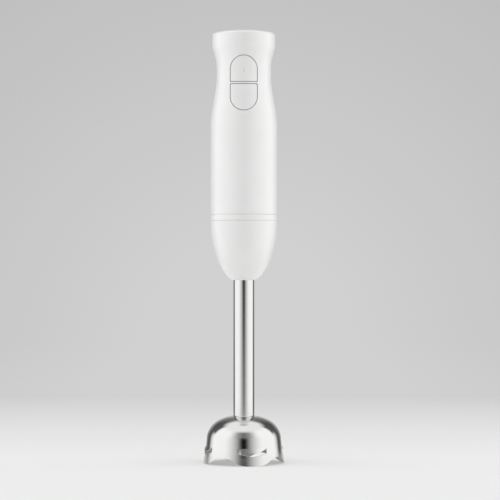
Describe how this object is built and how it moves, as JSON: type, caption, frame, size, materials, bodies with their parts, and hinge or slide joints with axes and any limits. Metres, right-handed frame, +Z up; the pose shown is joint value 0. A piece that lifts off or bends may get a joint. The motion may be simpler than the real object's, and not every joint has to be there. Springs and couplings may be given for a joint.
{
  "type": "cordless immersion blender",
  "caption": "Upright cordless stick blender with a waisted white handle, a capsule-shaped pair of buttons, a polished steel tube and a bell with a wavy rim and hooded vents.",
  "frame": {"origin": "on the blender's axis, in the plane that the bell's four feet stand on", "axes": "+Z up the handle, -Y towards the front with the buttons, +X to the right seen from the front"},
  "size_m": [0.0712, 0.0712, 0.38],
  "materials": {
    "white_shell": "satin",
    "white_button": "satin",
    "mark_grey": "matte",
    "white_silicone": "matte",
    "polished_steel": "polished",
    "blade_steel": "satin",
    "spring_steel": "satin",
    "motor_steel": "satin",
    "core_steel": "matte",
    "magnet_ferrite": "matte",
    "copper": "satin",
    "sintered_bronze": "matte",
    "carbon": "matte",
    "black_nylon": "matte",
    "grey_nylon": "matte",
    "seal_rubber": "matte",
    "cell_case": "gloss",
    "nickel_strip": "satin",
    "circuit_board": "gloss",
    "switch_body": "matte",
    "lead_sleeve": "satin"
  },
  "bodies": {
    "handle": {"front_shell": "white_shell", "rear_shell": "white_shell", "shell_screws": "spring_steel", "screw_plugs": "white_shell", "button_guide": "black_nylon", "button_spring_high": "spring_steel", "button_spring_low": "spring_steel", "switch_board": "circuit_board", "switch_high": "switch_body", "switch_low": "switch_body", "battery_cell_left": "cell_case", "battery_cell_right": "cell_case", "battery_holder": "black_nylon", "battery_contacts": "nickel_strip", "battery_leads": "lead_sleeve", "control_board": "circuit_board", "charging_port": "motor_steel", "motor_can": "motor_steel", "motor_end_cap": "black_nylon", "motor_bearing_low": "sintered_bronze", "motor_bearing_high": "sintered_bronze", "magnets": "magnet_ferrite", "brushes": "carbon", "motor_screws": "spring_steel", "motor_damper": "seal_rubber", "motor_leads": "lead_sleeve", "coupling_base": "grey_nylon", "spigot_seal": "seal_rubber", "latch_clip": "spring_steel"},
    "button_high": {"button_high": "white_button", "power_mark": "mark_grey"},
    "button_low": {"button_low": "white_button"},
    "rotor": {"armature": "core_steel", "windings": "copper", "commutator": "copper", "motor_shaft": "blade_steel", "drive_hexagon": "black_nylon"},
    "lock_collar": {"lock_collar": "white_shell"},
    "port_cover": {"port_cover": "white_silicone"},
    "attachment": {"hub_shell": "white_shell", "hub_core": "grey_nylon", "tube_seal": "seal_rubber", "shaft_tube": "polished_steel", "upper_bush": "sintered_bronze", "lower_bush": "sintered_bronze", "shaft_steady": "black_nylon", "bell": "polished_steel", "guard_hub": "grey_nylon", "shaft_seal": "seal_rubber"},
    "drive": {"drive_shaft": "blade_steel", "driven_socket": "black_nylon", "circlip": "blade_steel", "blade_spacer": "blade_steel", "blade": "blade_steel", "blade_nut": "blade_steel"}
  },
  "joints": [
    {"name": "button_high_press", "type": "slide", "parent": "handle", "child": "button_high", "axis": [0, 1, 0], "range_m": [0, 0.0015], "stiffness_N_per_m": 1200, "springref_m": -0.001, "deforming": ["button_spring_high"]},
    {"name": "button_low_press", "type": "slide", "parent": "handle", "child": "button_low", "axis": [0, 1, 0], "range_m": [0, 0.0015], "stiffness_N_per_m": 1200, "springref_m": -0.001, "deforming": ["button_spring_low"]},
    {"name": "motor_spin", "type": "hinge", "parent": "handle", "child": "rotor", "pos_m": [0, 0, 0.25], "axis": [0, 0, 1], "continuous": true},
    {"name": "collar_turn", "type": "hinge", "parent": "handle", "child": "lock_collar", "pos_m": [0, 0, 0.2155], "axis": [0, 0, 1], "range_deg": [0, 35]},
    {"name": "attachment_pull", "type": "slide", "parent": "handle", "child": "attachment", "axis": [0, 0, -1], "range_m": [0, 0.06], "deforming": ["latch_clip"]},
    {"name": "drive_spin", "type": "hinge", "parent": "attachment", "child": "drive", "pos_m": [0, 0, 0.1], "axis": [0, 0, 1], "continuous": true},
    {"name": "port_cover_fold", "type": "hinge", "parent": "handle", "child": "port_cover", "pos_m": [0, 0.0276, 0.36495], "axis": [-1, 0, 0], "range_deg": [0, 110]}
  ],
  "couplings": [
    {"joint": "drive_spin", "follows": "motor_spin", "ratio": 1}
  ]
}
